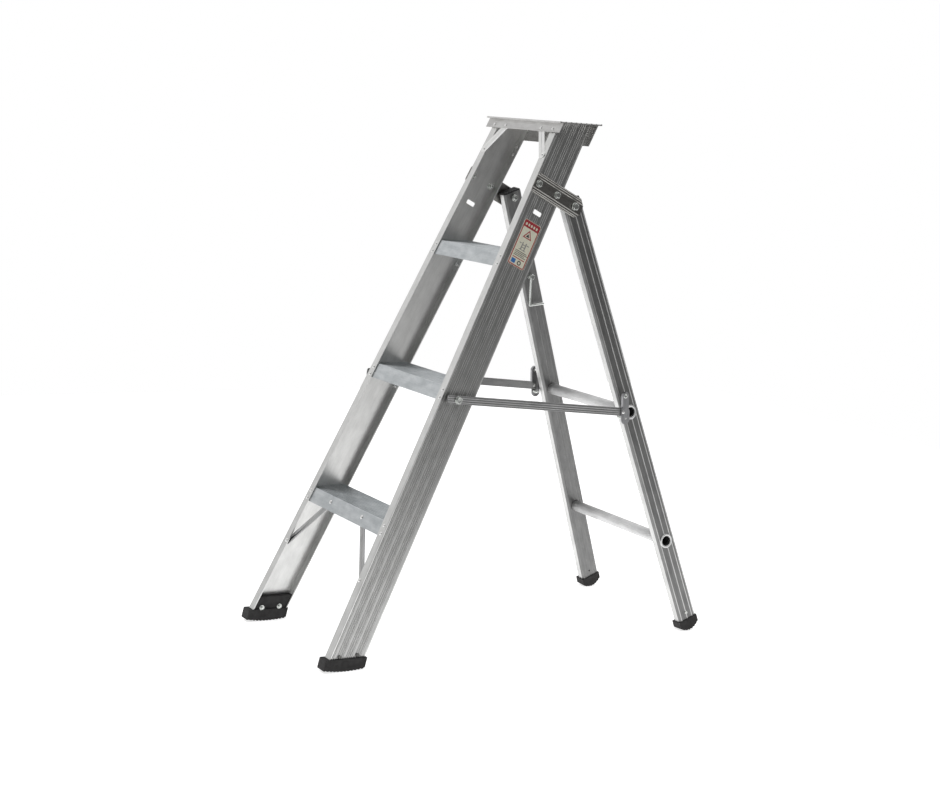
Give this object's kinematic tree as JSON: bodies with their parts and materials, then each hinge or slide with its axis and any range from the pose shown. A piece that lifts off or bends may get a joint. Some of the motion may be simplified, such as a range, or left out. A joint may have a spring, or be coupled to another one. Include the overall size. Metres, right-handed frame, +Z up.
{
  "type": "folding platform step ladder",
  "caption": "Folding aluminium step ladder with fluted channel stiles, flat ribbed treads, a small ribbed platform, a rear frame with rungs, and spreader arms with catches.",
  "frame": {"origin": "on the ground, at the middle of the open ladder's box", "axes": "+X is the climber's right, +Y runs from the climbing side to the rear legs, +Z is up. The ladder is nearly symmetric about X = 0; the hook and the label are on one side."},
  "size_m": [0.448, 1.044, 1.224],
  "materials": {
    "bar_aluminium": "mill extruded, fluted",
    "cap_plastic": "matt, moulded",
    "foot_rubber": "matt, moulded",
    "hook_steel": "zinc plated",
    "label_film": "printed film without words",
    "leg_aluminium": "mill extruded, fluted",
    "platform_aluminium": "mill extruded, ribbed",
    "rivet_aluminium": "plain",
    "rung_aluminium": "mill extruded, fluted",
    "stile_aluminium": "mill extruded, fluted",
    "strap_aluminium": "mill, flat",
    "tread_aluminium": "mill extruded, ribbed, mottled",
    "zinc_steel": "zinc plated"
  },
  "bodies": {
    "front_frame": {"stile_right": "stile_aluminium", "stile_left": "stile_aluminium", "tread_1": "tread_aluminium", "tread_2": "tread_aluminium", "tread_3": "tread_aluminium", "tread_rivets": "rivet_aluminium", "platform": "platform_aluminium", "platform_rivets": "rivet_aluminium", "platform_strap_right": "strap_aluminium", "platform_strap_left": "strap_aluminium", "tread_brace_right": "strap_aluminium", "tread_brace_left": "strap_aluminium", "brace_rivets": "rivet_aluminium", "hinge_bracket_right": "bar_aluminium", "hinge_bracket_left": "bar_aluminium", "bracket_bolts": "zinc_steel", "front_foot_right": "foot_rubber", "front_foot_left": "foot_rubber", "front_foot_bolts": "zinc_steel", "label": "label_film", "arm_bolts": "zinc_steel", "arm_spacers": "zinc_steel"},
    "rear_frame": {"rear_leg_right": "leg_aluminium", "rear_leg_left": "leg_aluminium", "leg_cap_right": "cap_plastic", "leg_cap_left": "cap_plastic", "rear_foot_right": "foot_rubber", "rear_foot_left": "foot_rubber", "rear_foot_screws": "zinc_steel", "upper_rung": "rung_aluminium", "lower_rung": "rung_aluminium", "pivot_bolts": "zinc_steel", "pivot_washers": "zinc_steel", "catch_stud_right": "zinc_steel", "catch_stud_left": "zinc_steel", "hook_bolt": "zinc_steel"},
    "right_spreader": {"spreader_arm_right": "bar_aluminium", "catch_plate_right": "bar_aluminium", "catch_pin_right": "zinc_steel", "eyelet_right": "zinc_steel", "plate_rivet_right": "rivet_aluminium"},
    "left_spreader": {"spreader_arm_left": "bar_aluminium", "catch_plate_left": "bar_aluminium", "catch_pin_left": "zinc_steel", "eyelet_left": "zinc_steel", "plate_rivet_left": "rivet_aluminium"},
    "hook": {"hook": "hook_steel"}
  },
  "joints": [
    {"name": "rear_frame_fold", "type": "hinge", "parent": "front_frame", "child": "rear_frame", "pos_m": [0, 0.09576, 1.03334], "axis": [-1, 0, 0], "range_deg": [0, 45]},
    {"name": "right_spreader_lift", "type": "hinge", "parent": "front_frame", "child": "right_spreader", "pos_m": [0.1874, -0.2104, 0.59495], "axis": [1, 0, 0], "range_deg": [0, 70]},
    {"name": "left_spreader_lift", "type": "hinge", "parent": "front_frame", "child": "left_spreader", "pos_m": [-0.1874, -0.2104, 0.59495], "axis": [1, 0, 0], "range_deg": [0, 70]},
    {"name": "hook_swing", "type": "hinge", "parent": "rear_frame", "child": "hook", "pos_m": [-0.12062, 0.1715, 0.84069], "axis": [1, 0, 0], "range_deg": [0, 75]}
  ]
}
